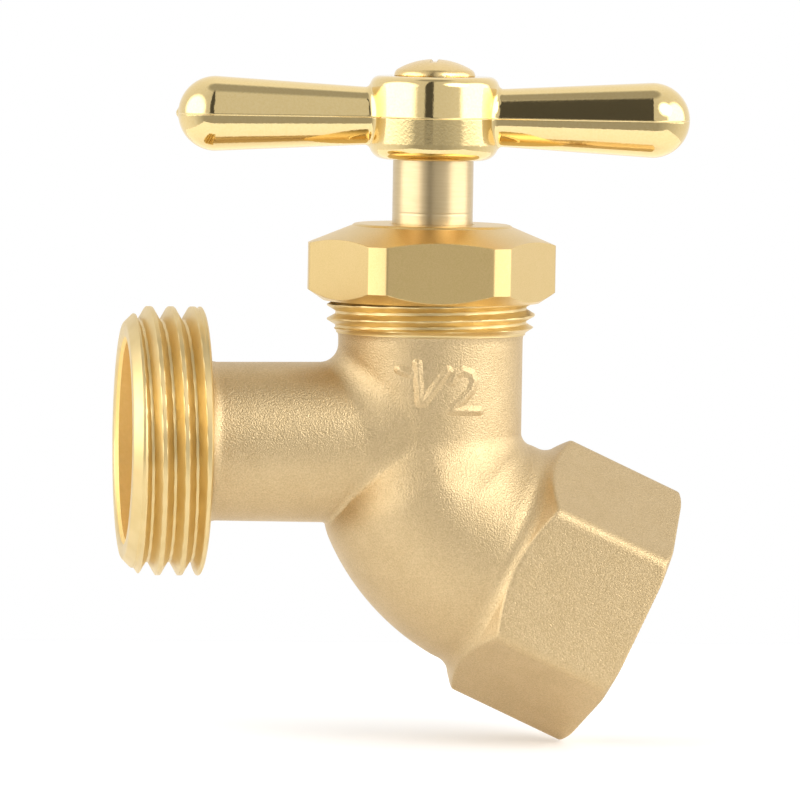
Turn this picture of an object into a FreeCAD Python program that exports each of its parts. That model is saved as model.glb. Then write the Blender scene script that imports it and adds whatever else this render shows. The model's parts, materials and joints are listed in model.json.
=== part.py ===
import FreeCAD, Part
import math
import os
from FreeCAD import Vector

# Garden tap: a hose bibb with a vertical spindle, a level hose outlet and a pipe socket that slopes down.
# Lengths are in millimetres and angles in degrees.
# The tap is drawn about its spindle: X = 0 is the spindle axis and Z = 0 is the level of the hose outlet.
# At the end everything is moved so that the origin is the centre of the inlet mouth.

# Hose outlet, which points to -X
outlet_reach = 30.9          # spindle axis to the mouth
hose_thread_r = 13.49        # crest of the 3/4 inch garden hose thread
hose_thread_pitch = 25.4 / 11.5
hose_thread_depth = 1.435
hose_thread_length = 7.9
hose_crest_land = 0.28
hose_start_chamfer = 1.1
hose_back_chamfer = 0.2       # along the axis, behind the last crest
hose_back_cut = 0.6           # off the radius there
outlet_bore_r = 10.1
outlet_web_t = 1.5           # floor of the outlet's bore, behind the thread
outlet_lip_chamfer = 0.5
tube_r = 7.95                # tube behind the thread
tube_root_r = 8.1            # the same tube where it meets the neck
passage_r = 4.9              # waterway through the tube
tube_fillet_r = 1.6

# Neck, which carries the packing nut
neck_r = 9.275
neck_top_z = 19.3
neck_thread_r = 10.45
neck_thread_pitch = 1.411
neck_thread_depth = 0.84
neck_crest_land = 0.2
neck_thread_start_z = 11.2   # top of the run-out below the thread
neck_thread_end_z = 18.18    # top of the last crest
neck_runout_r = 9.8
neck_runout_h = 0.8
neck_mouth_chamfer = 0.4

# Elbow between the neck and the inlet: circles that turn about a line beside the neck
elbow_pivot_z = 1.0
elbow_inner_r = 1.725        # from that line to the neck
elbow_inlet_inner_r = 1.29   # from that line to the inlet pipe
belly_upper_r = 10.75        # radius of the elbow a quarter of the way round
belly_middle_r = 11.22
belly_lower_r = 11.37

# Inlet socket, with a hexagon for the spanner
inlet_slope = 25.0           # degrees below the horizontal
inlet_pipe_r = 11.7
inlet_reach = 16.1           # end of the elbow to the mouth
hex_corner_r = 14.1
hex_length = 12.58           # mouth to the back of the corners
hex_back_chamfer = 1.76
hex_front_chamfer = 0.55     # along the axis
hex_front_cut = 1.0          # off the corners
hex_edge_fillet = 0.5
pipe_thread_r = 9.3          # crest of the 1/2 inch pipe thread in the socket
pipe_thread_pitch = 25.4 / 14
pipe_thread_depth = 1.15
pipe_crest_land = 0.3
pipe_thread_length = 12.5
mouth_countersink = 0.45

# Waterway inside
chamber_r = 7.7              # upper chamber, above the seat
seat_z = -4.8                # rim that the washer closes
seat_hole_r = 4.75
seat_rim_w = 1.15
seat_rim_h = 0.8
partition_t = 2.2            # wall between the two chambers
lower_chamber_r = 8.3
lower_chamber_back = 2.9     # centre of the lower chamber behind the inlet pipe's start

# Operating thread, between body and spindle
stem_thread_r = 7.4
stem_thread_pitch = 2.1
stem_thread_depth = 0.8
stem_crest_land = 0.55
stem_thread_gap = 0.15       # clearance around the spindle's crests
thread_bore_z = 5.2          # where the threaded bore starts, above the upper chamber
turns_to_open = 2.5

# Packing around the spindle
packing_seat_z = 15.2
packing_chamber_r = 8.0
packing_washer_t = 0.8
packing_t = 2.3
packing_fit = 0.06           # rings inside the packing chamber
stem_fit = 0.08              # rings and nut around the turning spindle

# Packing nut
nut_flats = 22.5
nut_corner_r = 12.45         # corners are turned off at this radius
nut_height = 7.5
nut_z = 14.25                # underside
nut_face_r = 8.0
nut_face_h = 0.3
nut_top_drop = 1.75          # from the raised face down to the corners
nut_bottom_rise = 1.0
nut_bottom_slope = 28.0
nut_roof_gap = 0.3           # above the neck's end
nut_thread_gap = 0.1
nut_turn = -2.6              # rest angle of its front flat

# Spindle
stem_r = 4.05
stem_thread_bottom_z = 3.6
stem_thread_top_z = 9.7
stem_thread_chamfer = 0.3
shank_r = 4.5
cup_r = 6.3
cup_top_z = 0.2
cup_rim_h = 1.5
washer_r = 6.0
washer_t = 3.0
washer_hole_r = 1.75
washer_fit = 0.05
washer_gap = 0.05            # between the washer and the faces that hold it
hub_socket_depth = 1.5       # round end of the spindle inside the handle
square_w = 5.6
square_fit = 0.05
square_stop = 0.5            # end of the square below the hub's top

# Screw under the seat washer
washer_screw_r = 1.6
washer_screw_head_r = 3.0
washer_screw_head_h = 1.4
washer_screw_z = 3.0         # its end inside the spindle
washer_screw_slot_w = 0.6
washer_screw_slot_d = 0.7

# Tee handle
arm_z = 32.8                 # height of the arms' axis
hub_below_arm = 4.3          # from that axis down to the hub's underside
hub_above_arm = 4.1
hub_r = 6.6
hub_top_r = 6.45
hub_bottom_edge_r = 1.5
hub_top_edge_r = 1.0
arm_reach = 25.7
arm_root_r = 2.9
arm_end_r = 3.775
handle_turn = -7.2           # rest angle of the arms

# Handle screw
handle_screw_r = 1.95
handle_screw_head_r = 4.075
handle_screw_head_h = 1.7
handle_screw_rim_h = 0.45
handle_screw_length = 7.0
handle_slot_w = 0.6
handle_slot_d = 0.6
handle_slot_turn = 78.8      # rest angle of the slot
screw_fit = 0.05

# Raised size mark on the neck
mark_z = 5.9                 # its centre
mark_height = 5.4
mark_width = 8.8
mark_stroke = 0.6
mark_raise = 0.35

# Worked out from the values above
overrun = 1.0                # how far cutting tools reach past a face
slope = math.radians(inlet_slope)
inlet_dir = Vector(math.cos(slope), 0, -math.sin(slope))
inlet_down = Vector(-math.sin(slope), 0, -math.cos(slope))
pivot = Vector(neck_r + elbow_inner_r, 0, elbow_pivot_z)
elbow_end = pivot + inlet_down * (inlet_pipe_r + elbow_inlet_inner_r)
inlet_mouth = elbow_end + inlet_dir * inlet_reach
outlet_bore_depth = hose_thread_length - outlet_web_t
nut_top_z = nut_z + nut_height
nut_roof_z = neck_top_z + nut_roof_gap
partition_bottom_z = seat_z - seat_rim_h - partition_t
washer_top_z = seat_z + washer_t
hub_bottom_z = arm_z - hub_below_arm
hub_top_z = arm_z + hub_above_arm
square_top_z = hub_top_z - square_stop
packing_z = packing_seat_z + packing_washer_t
follower_z = packing_z + packing_t
lift = turns_to_open * stem_thread_pitch
tan30 = math.tan(math.radians(30))

X = Vector(1, 0, 0)
Y = Vector(0, 1, 0)
Z = Vector(0, 0, 1)


def turned(points, base=Vector(0, 0, 0), axis=Z):
    """A solid of revolution from (radius, height) points, standing on base along axis."""
    corners = [Vector(r, 0, h) for r, h in points]
    face = Part.Face(Part.makePolygon(corners + corners[:1]))
    solid = face.revolve(Vector(0, 0, 0), Z, 360)
    solid.Placement = FreeCAD.Placement(base, FreeCAD.Rotation(Z, axis))
    return solid


def ring(inner_r, outer_r, bottom, top):
    """A flat ring around the spindle axis."""
    return turned([(inner_r, bottom), (outer_r, bottom), (outer_r, top), (inner_r, top)])


def thread_outline(crest_r, depth, land, pitch, bottom, top, inwards=1):
    """The (radius, height) points of a thread drawn as rings, from bottom to top.

    A land ends at the top. The grooves go towards the axis, or away from it where inwards is -1.
    """
    flank = depth * tan30
    count = max(1, int((top - bottom) / pitch))
    points = []
    for i in range(count):
        low = top - pitch * (count - i)
        points += [
            (crest_r, low),
            (crest_r - inwards * depth, low + flank),
            (crest_r - inwards * depth, low + pitch - land - flank),
            (crest_r, low + pitch - land),
        ]
    return points


def along(solid, base, axis):
    """The same solid, drawn along Z from height 0, laid along axis from base."""
    placed = solid.copy()
    placed.Placement = FreeCAD.Placement(base, FreeCAD.Rotation(Z, axis)).multiply(placed.Placement)
    return placed


def hose_collar():
    """The threaded end of the outlet, drawn from its mouth backwards along Z."""
    thread = thread_outline(
        hose_thread_r, hose_thread_depth, hose_crest_land, hose_thread_pitch,
        hose_start_chamfer, hose_thread_length,
    )
    return turned([
        (0, 0),
        (hose_thread_r - hose_start_chamfer, 0),
        (hose_thread_r, hose_start_chamfer),
        *thread,
        (hose_thread_r, hose_thread_length - hose_back_chamfer),
        (hose_thread_r - hose_back_cut, hose_thread_length),
        (0, hose_thread_length),
    ])


def outlet_tube():
    """The tube from the threaded end to the spindle axis, with a fillet behind the thread."""
    length = outlet_reach - hose_thread_length
    root_r = tube_r + tube_fillet_r
    corner = tube_fillet_r * (1 - math.cos(math.radians(45)))
    fillet = Part.Arc(Vector(root_r, 0, 0), Vector(tube_r + corner, 0, corner), Vector(tube_r, 0, tube_fillet_r))
    straight = [
        Vector(tube_r, 0, tube_fillet_r),
        Vector(tube_root_r, 0, length),
        Vector(0, 0, length),
        Vector(0, 0, -outlet_web_t / 2),
        Vector(root_r, 0, -outlet_web_t / 2),
        Vector(root_r, 0, 0),
    ]
    face = Part.Face(Part.Wire([fillet.toShape()] + Part.makePolygon(straight).Edges))
    return along(face.revolve(Vector(0, 0, 0), Z, 360), Vector(-length, 0, 0), X)


def elbow():
    """The belly of the tap, from the neck round to the inlet pipe."""
    turn = 90 - inlet_slope
    radii = [neck_r, belly_upper_r, belly_middle_r, belly_lower_r, inlet_pipe_r]
    wires = []
    for i, radius in enumerate(radii):
        share = i / (len(radii) - 1)
        angle = math.radians(turn * share)
        gap = elbow_inner_r + (elbow_inlet_inner_r - elbow_inner_r) * share
        out = Vector(-math.cos(angle), 0, -math.sin(angle))
        normal = Vector(math.sin(angle), 0, -math.cos(angle))
        wires.append(Part.Wire(Part.makeCircle(radius, pivot + out * (gap + radius), normal)))
    return Part.makeLoft(wires, True, False)


def neck():
    """The upright neck with its outside thread."""
    thread = thread_outline(
        neck_thread_r, neck_thread_depth, neck_crest_land, neck_thread_pitch,
        neck_thread_start_z, neck_thread_end_z,
    )
    root_r = neck_thread_r - neck_thread_depth
    return turned([
        (0, elbow_pivot_z),
        (neck_r, elbow_pivot_z),
        (neck_r, neck_thread_start_z - neck_runout_h),
        (neck_runout_r, neck_thread_start_z),
        *thread[1:],
        (neck_thread_r, neck_thread_end_z),
        (root_r, neck_thread_end_z + neck_thread_depth * tan30),
        (root_r, neck_top_z),
        (0, neck_top_z),
    ])


def hexagon(corner_r, bottom, top, first_corner):
    """A hexagonal bar along Z."""
    corners = []
    for i in range(6):
        angle = math.radians(first_corner + 60 * i)
        corners.append(Vector(corner_r * math.cos(angle), corner_r * math.sin(angle), bottom))
    face = Part.Face(Part.makePolygon(corners + corners[:1]))
    return face.extrude(Vector(0, 0, top - bottom))


def inlet_socket():
    """The hexagon and the short pipe behind it, drawn from the mouth backwards along Z."""
    back = hex_length + hex_back_chamfer
    bar = hexagon(hex_corner_r, 0, back, 0)
    upright = [e for e in bar.Edges if abs(e.Vertexes[0].Z - e.Vertexes[-1].Z) > back / 2]
    bar = bar.makeFillet(hex_edge_fillet, upright)
    envelope = turned([
        (0, 0),
        (hex_corner_r - hex_front_cut, 0),
        (hex_corner_r, hex_front_chamfer),
        (hex_corner_r, hex_length),
        (inlet_pipe_r, back),
        (0, back),
    ])
    pipe = Part.makeCylinder(inlet_pipe_r, inlet_reach - back, Vector(0, 0, back))
    return bar.common(envelope).fuse(pipe)


def mark_strokes():
    """The raised size mark, one half, as flat bars seen from the front."""
    half_w = mark_width / 2
    half_h = mark_height / 2
    lines = [
        [(-0.92, 0.62), (-0.62, 1.0), (-0.52, -0.85)],
        [(-0.28, -0.95), (0.02, 0.95)],
        [(0.30, 0.45), (0.42, 0.86), (0.70, 0.92), (0.90, 0.60), (0.82, 0.20), (0.28, -0.78), (0.98, -0.92)],
    ]
    bars = []
    for line in lines:
        spots = [Vector(u * half_w, -neck_r - overrun, mark_z + v * half_h) for u, v in line]
        for a, b in zip(spots, spots[1:]):
            side = (b - a).cross(Y).normalize() * (mark_stroke / 2)
            face = Part.Face(Part.makePolygon([a + side, b + side, b - side, a - side, a + side]))
            bars.append(face.extrude(Y * (neck_r / 2)))
        for spot in spots:
            bars.append(Part.makeCylinder(mark_stroke / 2, neck_r / 2, spot, Y))
    return bars[0].multiFuse(bars[1:]).removeSplitter()


def body_outside():
    """Everything of the body that shows, before the bores."""
    mark = mark_strokes().common(Part.makeCylinder(neck_r + mark_raise, neck_top_z))
    collar = along(hose_collar(), Vector(-outlet_reach, 0, 0), X)
    socket = along(inlet_socket(), inlet_mouth, inlet_dir * -1)
    return elbow().multiFuse([neck(), outlet_tube(), collar, socket, mark])


def body_bores():
    """The waterway, the socket's bore and the packing chamber."""
    outlet = turned([
        (0, -overrun),
        (outlet_bore_r + outlet_lip_chamfer + overrun, -overrun),
        (outlet_bore_r, outlet_lip_chamfer),
        (outlet_bore_r, outlet_bore_depth),
        (passage_r, outlet_bore_depth),
        (passage_r, outlet_reach),
        (0, outlet_reach),
    ])
    spindle_bore = turned([
        (0, seat_z - seat_rim_h),
        (chamber_r, seat_z - seat_rim_h),
        (chamber_r, thread_bore_z),
        (stem_thread_r + stem_thread_gap, thread_bore_z),
        (stem_thread_r + stem_thread_gap, packing_seat_z),
        (packing_chamber_r, packing_seat_z),
        (packing_chamber_r, neck_top_z - neck_mouth_chamfer),
        (packing_chamber_r + neck_mouth_chamfer + overrun, neck_top_z + overrun),
        (0, neck_top_z + overrun),
    ])
    seat = ring(seat_hole_r, seat_hole_r + seat_rim_w, seat_z - seat_rim_h - overrun, seat_z)
    seat_hole = Part.makeCylinder(
        seat_hole_r, seat_z - partition_bottom_z + overrun, Vector(0, 0, partition_bottom_z - overrun)
    )
    countersink_r = pipe_thread_r + pipe_thread_depth + 0.1
    thread = thread_outline(
        pipe_thread_r, pipe_thread_depth, pipe_crest_land, pipe_thread_pitch,
        mouth_countersink, pipe_thread_length, -1,
    )
    socket = turned([
        (0, -overrun),
        (countersink_r, -overrun),
        (countersink_r, 0),
        (pipe_thread_r, mouth_countersink),
        *thread,
        (pipe_thread_r, pipe_thread_length),
        (lower_chamber_r, pipe_thread_length + (pipe_thread_r - lower_chamber_r) * tan30),
        (lower_chamber_r, inlet_reach + lower_chamber_back),
        (0, inlet_reach + lower_chamber_back),
    ])
    centre = elbow_end - inlet_dir * lower_chamber_back
    lower = along(socket, inlet_mouth, inlet_dir * -1).fuse(Part.makeSphere(lower_chamber_r, centre))
    span = 2 * hex_corner_r + inlet_reach
    keep_out = Part.makeBox(
        span + inlet_reach, 2 * span, span, Vector(-span, -span, partition_bottom_z)
    )
    socket_room = along(
        Part.makeCylinder(pipe_thread_r + overrun, pipe_thread_length + overrun, Vector(0, 0, -overrun)),
        inlet_mouth,
        inlet_dir * -1,
    )
    lower = lower.cut(keep_out.cut(socket_room))
    return [along(outlet, Vector(-outlet_reach, 0, 0), X), spindle_bore.cut(seat), seat_hole, lower]


def tap_body():
    """The cast body."""
    solid = body_outside()
    for bore in body_bores():
        solid = solid.cut(bore)
    return solid


def nut_blank():
    """The outside of the packing nut: a hexagon with its corners turned off and a raised face."""
    corner_r = nut_flats / 2 / math.cos(math.radians(30))
    bar = hexagon(corner_r, nut_z, nut_top_z + nut_face_h, nut_turn)
    bottom_r = nut_corner_r - nut_bottom_rise / math.tan(math.radians(nut_bottom_slope))
    envelope = turned([
        (0, nut_z),
        (bottom_r, nut_z),
        (nut_corner_r, nut_z + nut_bottom_rise),
        (nut_corner_r, nut_top_z - nut_top_drop),
        (nut_face_r, nut_top_z),
        (nut_face_r, nut_top_z + nut_face_h),
        (0, nut_top_z + nut_face_h),
    ])
    return bar.common(envelope)


def packing_nut():
    """The nut that screws over the neck and presses on the packing."""
    depth = neck_thread_depth - nut_thread_gap
    crest_r = neck_thread_r + nut_thread_gap - depth
    relief_r = neck_thread_r + 2 * nut_thread_gap
    top_land = neck_thread_end_z - neck_crest_land / 2
    land = neck_thread_pitch - neck_crest_land - nut_thread_gap - 2 * depth * tan30
    top = top_land + (neck_thread_pitch + land) / 2
    entry = (relief_r - crest_r) * tan30
    thread = thread_outline(crest_r, depth, land, neck_thread_pitch, nut_z + entry, top, -1)
    bore = turned([
        (0, nut_z - overrun),
        (relief_r, nut_z - overrun),
        (relief_r, thread[0][1] - entry),
        *thread,
        (crest_r, top),
        (relief_r, top),
        (relief_r, nut_roof_z),
        (stem_r + stem_fit, nut_roof_z),
        (stem_r + stem_fit, nut_top_z + nut_face_h + overrun),
        (0, nut_top_z + nut_face_h + overrun),
    ])
    return nut_blank().cut(bore)


def gland_follower():
    """The ring between the nut's roof and the packing."""
    return ring(stem_r + stem_fit, packing_chamber_r - packing_fit, follower_z, nut_roof_z)


def stem_packing():
    """The soft ring that seals the spindle."""
    return ring(stem_r + stem_fit, packing_chamber_r - packing_fit, packing_z, follower_z)


def packing_washer():
    """The flat washer under the packing."""
    return ring(stem_r + stem_fit, packing_chamber_r - packing_fit, packing_seat_z, packing_z)


def spindle():
    """The spindle: cup for the seat washer, operating thread, round stem and square end."""
    cup_floor_z = washer_top_z + washer_gap
    socket_z = hub_bottom_z + hub_socket_depth
    thread = thread_outline(
        stem_thread_r, stem_thread_depth, stem_crest_land, stem_thread_pitch,
        stem_thread_bottom_z + stem_thread_chamfer, stem_thread_top_z - stem_thread_chamfer,
    )
    round_part = turned([
        (0, cup_floor_z),
        (washer_r + washer_fit, cup_floor_z),
        (washer_r + washer_fit, cup_floor_z - cup_rim_h),
        (cup_r, cup_floor_z - cup_rim_h),
        (cup_r, cup_top_z - (cup_r - shank_r) * tan30),
        (shank_r, cup_top_z),
        (shank_r, stem_thread_bottom_z),
        (stem_thread_r - stem_thread_chamfer, stem_thread_bottom_z),
        (stem_thread_r, stem_thread_bottom_z + stem_thread_chamfer),
        *thread,
        (stem_thread_r, stem_thread_top_z - stem_thread_chamfer),
        (stem_thread_r - stem_thread_chamfer, stem_thread_top_z),
        (stem_r, stem_thread_top_z),
        (stem_r, socket_z),
        (0, socket_z),
    ])
    square = square_bar(square_w, socket_z, square_top_z).common(
        Part.makeCylinder(stem_r, square_top_z, Vector(0, 0, 0))
    )
    end_z = hub_top_z - handle_screw_length
    top_hole = Part.makeCylinder(
        handle_screw_r + screw_fit, square_top_z - end_z + overrun + screw_fit, Vector(0, 0, end_z - screw_fit)
    )
    low_hole = Part.makeCylinder(
        washer_screw_r + screw_fit, washer_screw_z + screw_fit - seat_z, Vector(0, 0, seat_z)
    )
    return round_part.fuse(square).cut(top_hole).cut(low_hole)


def square_bar(width, bottom, top):
    """A square bar around the spindle axis, square to the handle's arms."""
    bar = Part.makeBox(width, width, top - bottom, Vector(-width / 2, -width / 2, bottom))
    bar.rotate(Vector(0, 0, 0), Z, handle_turn)
    return bar


def seat_washer():
    """The rubber washer that closes the seat."""
    return ring(washer_hole_r, washer_r, seat_z, washer_top_z)


def domed_head(head_r, rim_h, height):
    """A screw head with a straight rim and a domed top, standing on height 0 along Z."""
    dome_h = height - rim_h
    dome_r = (head_r ** 2 + dome_h ** 2) / (2 * dome_h)
    ball = Part.makeSphere(dome_r, Vector(0, 0, height - dome_r))
    return ball.common(Part.makeCylinder(head_r, height))


def slotted_screw(shank_r, length, head_r, rim_h, height, slot_w, slot_d, turn):
    """A slotted screw whose head stands on height 0 and whose shank hangs below."""
    shank = Part.makeCylinder(shank_r, length, Vector(0, 0, -length))
    slot = Part.makeBox(4 * head_r, slot_w, slot_d + overrun, Vector(-2 * head_r, -slot_w / 2, height - slot_d))
    slot.rotate(Vector(0, 0, 0), Z, turn)
    return domed_head(head_r, rim_h, height).fuse(shank).cut(slot)


def seat_washer_screw():
    """The screw that holds the seat washer in its cup, head down."""
    under_z = seat_z - washer_gap
    screw = slotted_screw(
        washer_screw_r, washer_screw_z - under_z, washer_screw_head_r, washer_screw_head_h / 3,
        washer_screw_head_h, washer_screw_slot_w, washer_screw_slot_d, 0,
    )
    return along(screw, Vector(0, 0, under_z), Z * -1)


def handle_screw():
    """The screw that holds the handle on the spindle."""
    screw = slotted_screw(
        handle_screw_r, handle_screw_length, handle_screw_head_r, handle_screw_rim_h,
        handle_screw_head_h, handle_slot_w, handle_slot_d, handle_slot_turn,
    )
    screw.translate(Vector(0, 0, hub_top_z))
    return screw


def handle_arm():
    """One arm of the handle along X, from inside the hub to its round end."""
    start = hub_r / 2
    ball_x = arm_reach - arm_end_r
    diagonal = arm_end_r * math.sin(math.radians(45))
    end = Part.Arc(
        Vector(ball_x, 0, arm_end_r), Vector(ball_x + diagonal, 0, diagonal), Vector(arm_reach, 0, 0)
    )
    straight = Part.makePolygon([
        Vector(arm_reach, 0, 0),
        Vector(start, 0, 0),
        Vector(start, 0, arm_root_r),
        Vector(hub_r, 0, arm_root_r),
        Vector(ball_x, 0, arm_end_r),
    ])
    face = Part.Face(Part.Wire([end.toShape()] + straight.Edges))
    arm = face.revolve(Vector(0, 0, 0), X, 360)
    arm.translate(Vector(0, 0, arm_z))
    return arm


def level_rims(solid):
    """The level round edges of a solid, the lowest first."""
    rims = [e for e in solid.Edges if e.BoundBox.ZLength < 1e-6 and e.BoundBox.XLength > 1e-6]
    return sorted(rims, key=lambda e: e.BoundBox.ZMin)


def tee_handle():
    """The handle: a hub with a stepped hole for the spindle, and two arms."""
    hub = turned([
        (0, hub_bottom_z),
        (hub_r, hub_bottom_z),
        (hub_r, arm_z - arm_root_r),
        (hub_top_r, hub_top_z),
        (0, hub_top_z),
    ])
    hub = hub.makeFillet(hub_bottom_edge_r, level_rims(hub)[:1])
    hub = hub.makeFillet(hub_top_edge_r, level_rims(hub)[-1:])
    left = handle_arm()
    left.rotate(Vector(0, 0, 0), Z, 180)
    solid = hub.multiFuse([handle_arm(), left])
    solid.rotate(Vector(0, 0, 0), Z, handle_turn)
    socket = Part.makeCylinder(stem_r + square_fit, hub_socket_depth, Vector(0, 0, hub_bottom_z))
    square = square_bar(square_w + 2 * square_fit, hub_bottom_z, hub_top_z + overrun)
    square = square.common(Part.makeCylinder(stem_r + square_fit, hub_top_z + overrun))
    return solid.cut(socket).cut(square)


parts = {
    "tap_body": tap_body,
    "packing_nut": packing_nut,
    "gland_follower": gland_follower,
    "stem_packing": stem_packing,
    "packing_washer": packing_washer,
    "spindle": spindle,
    "seat_washer": seat_washer,
    "seat_washer_screw": seat_washer_screw,
    "tee_handle": tee_handle,
    "handle_screw": handle_screw,
}

os.makedirs("parts", exist_ok=True)
for name, make in parts.items():
    shape = make()
    shape.translate(inlet_mouth * -1)
    print(name, "solids", len(shape.Solids), "valid", shape.isValid(), "volume", round(shape.Volume, 1))
    shape.exportStep("parts/" + name + ".step")
print("lift", round(lift, 3), "inlet mouth from the spindle", inlet_mouth)
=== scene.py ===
# %% [markdown]
# # A brass garden tap
# The tap is one casting that is blasted matt, then machined: the hose thread, the neck thread and the
# socket's thread are cut bright. A nut, a spindle, a polished tee handle and a screw complete it.
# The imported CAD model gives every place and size. This script makes the surfaces that show, finer than the
# CAD solids, and gives each its finish.

import json
import math

import bmesh
import bpy
import numpy as np
from mathutils import Matrix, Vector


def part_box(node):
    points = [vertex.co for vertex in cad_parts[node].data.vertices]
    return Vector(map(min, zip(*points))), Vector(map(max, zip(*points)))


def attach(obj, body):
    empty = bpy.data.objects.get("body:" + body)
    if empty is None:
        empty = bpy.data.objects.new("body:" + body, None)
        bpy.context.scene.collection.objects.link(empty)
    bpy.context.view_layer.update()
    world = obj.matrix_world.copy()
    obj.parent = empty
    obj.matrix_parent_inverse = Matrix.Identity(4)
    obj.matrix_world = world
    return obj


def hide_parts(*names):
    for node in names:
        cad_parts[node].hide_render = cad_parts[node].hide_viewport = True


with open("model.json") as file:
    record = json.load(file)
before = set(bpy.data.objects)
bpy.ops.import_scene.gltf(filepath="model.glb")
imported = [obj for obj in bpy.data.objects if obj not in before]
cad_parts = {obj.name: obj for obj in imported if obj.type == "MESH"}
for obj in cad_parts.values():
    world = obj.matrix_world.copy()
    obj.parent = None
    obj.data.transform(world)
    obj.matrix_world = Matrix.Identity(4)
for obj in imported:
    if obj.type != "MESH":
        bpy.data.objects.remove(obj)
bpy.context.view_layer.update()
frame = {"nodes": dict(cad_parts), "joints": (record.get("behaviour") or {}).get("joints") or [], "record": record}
joints = {joint["name"]: joint for joint in frame["joints"]}
mounts = {mount["name"]: mount for mount in frame["record"]["mounts"]}
print("nodes", sorted(frame["nodes"]))

# %% [markdown]
# ## Working in the tap's own millimetres
# A tap is easiest to describe about its spindle: x = 0 and y = 0 on the spindle's axis, and z = 0 level with
# the hose outlet. Every function below works in millimetres there, and one helper turns the result into
# metres in the frame.

# %% Places read from the frame
MM = 0.001
origin = np.array([joints["handle_turn"]["pos_m"][0], 0, mounts["hose_outlet"]["pos_m"][2]]) / MM
inlet_dir = np.array(mounts["inlet"]["axis"])
inlet_mouth = np.array(mounts["inlet"]["pos_m"]) / MM - origin
inlet_up = np.array([-inlet_dir[2], 0, inlet_dir[0]])
outlet_x = mounts["outlet_face"]["pos_m"][0] / MM - origin[0]


def span(node, axis):
    """The lowest and highest value of a CAD node along an axis, in the tap's millimetres."""
    low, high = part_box(node)
    return low[axis] / MM - origin[axis], high[axis] / MM - origin[axis]


nut_z, nut_face_z = span("packing_nut", 2)
hub_z, hub_top_z = span("tee_handle", 2)
screw_z, screw_top_z = span("handle_screw", 2)
cup_z, square_top_z = span("spindle", 2)
print("outlet", round(outlet_x, 2), "nut", round(nut_z, 2), "handle", round(hub_z, 2), round(hub_top_z, 2))

# %% [markdown]
# ## Two ways to make a surface
# A round piece, and a thread on it, is a function of two parameters: how far round, and how far along the
# outline. A casting is different, because its tube, belly, neck and socket run into each other with small
# fillets. For that, a field says how far any point is outside the shape, rounded unions add the fillets, and
# a net of faces is drawn where the field is zero.

# %% Meshes from arrays


def add_mesh(name, points, faces, normals=None, sharp=None):
    """A new object at the origin, from points in the tap's millimetres and an array of faces."""
    mesh = bpy.data.meshes.new(name)
    mesh.from_pydata((points + origin) * MM, [], faces)
    mesh.polygons.foreach_set("use_smooth", np.ones(len(mesh.polygons), bool))
    obj = bpy.data.objects.new(name, mesh)
    bpy.context.scene.collection.objects.link(obj)
    if normals is not None:
        mesh.normals_split_custom_set(normals)
    if sharp is not None:
        net = bmesh.new()
        net.from_mesh(mesh)
        bmesh.ops.remove_doubles(net, verts=net.verts, dist=1e-7)
        bmesh.ops.recalc_face_normals(net, faces=net.faces)
        net.to_mesh(mesh)
        net.free()
        mesh.set_sharp_from_angle(angle=math.radians(sharp))
    print(name, len(mesh.vertices), "points", len(mesh.polygons), "faces")
    return obj


def runs(corners, step):
    """Points along straight runs from corner to corner, about step apart."""
    corners = np.array(corners, float)
    parts = []
    for a, b in zip(corners, corners[1:]):
        count = max(1, int(np.ceil(np.linalg.norm(b - a) / step)))
        parts.append(a + (b - a) * np.arange(count)[:, None] / count)
    return np.concatenate(parts + [corners[-1:]])


def turned(name, outline, around, place, radius=None, closed=True, sharp=35):
    """A turned piece: each (radius, height) of the outline, swept round by an angle.

    radius(turn, height, r) may change the radius as it goes round, which cuts threads and flats.
    place(x, y, h) lays the piece's own axes into the tap.
    """
    turn = np.arange(around) * 2 * np.pi / around
    r, height = outline[:, 0][:, None], outline[:, 1][:, None]
    out = r + 0 * turn if radius is None else radius(turn[None, :], height, r)
    points = place(out * np.cos(turn), out * np.sin(turn), height + 0 * turn)
    rows = len(outline)
    i = np.arange(rows if closed else rows - 1)[:, None]
    j = np.arange(around)[None, :]
    below, above = i * around, (i + 1) % rows * around
    faces = np.stack([below + j, below + (j + 1) % around, above + (j + 1) % around, above + j], -1)
    return add_mesh(name, np.stack(points, -1).reshape(-1, 3), faces.reshape(-1, 4), sharp=sharp)


# %% Fields


def ease(value, low, high):
    """Goes smoothly from 0 at low to 1 at high."""
    share = np.clip((value - low) / (high - low), 0, 1)
    return share * share * (3 - 2 * share)


def join(a, b, fillet):
    """Union of two fields with a round fillet: a circle rolls in the corner where both are under fillet."""
    inside = np.maximum(fillet, np.minimum(a, b))
    return inside - np.hypot(np.maximum(fillet - a, 0), np.maximum(fillet - b, 0))


def cut(a, b, edge):
    """What a and b share, with its edges rounded to the radius edge."""
    outside = np.minimum(-edge, np.maximum(a, b))
    return outside + np.hypot(np.maximum(edge + a, 0), np.maximum(edge + b, 0))


def field_slope(field, points, reach=0.02):
    """The field at some points, and the way in which it grows there, from differences over a short reach."""
    x, y, z = points.T
    slope = [
        field(x + reach, y, z) - field(x - reach, y, z),
        field(x, y + reach, z) - field(x, y - reach, z),
        field(x, y, z + reach) - field(x, y, z - reach),
    ]
    return field(x, y, z), np.stack(slope, -1) / (2 * reach)


# %% [markdown]
# The net is drawn on a grid. A cell that the surface crosses gets one point, and four such cells about a
# crossed edge get a face. The surface is taken as a plane at each crossed edge of a cell, and the cell's
# point lies where these planes meet best, by least squares. That keeps a casting's edges straight and crisp.

# %% A skin on a field
cell_corners = [(i, j, k) for i in (0, 1) for j in (0, 1) for k in (0, 1)]
cell_edges = [(corner, axis) for corner in cell_corners for axis in range(3) if not corner[axis]]
loose = 0.06
# the least slopes that are divided by, and how many cell steps a point may move at a time
least_slope, least_square = 0.2, 0.05
point_reach, newton_reach = 0.6, 0.3


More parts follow.
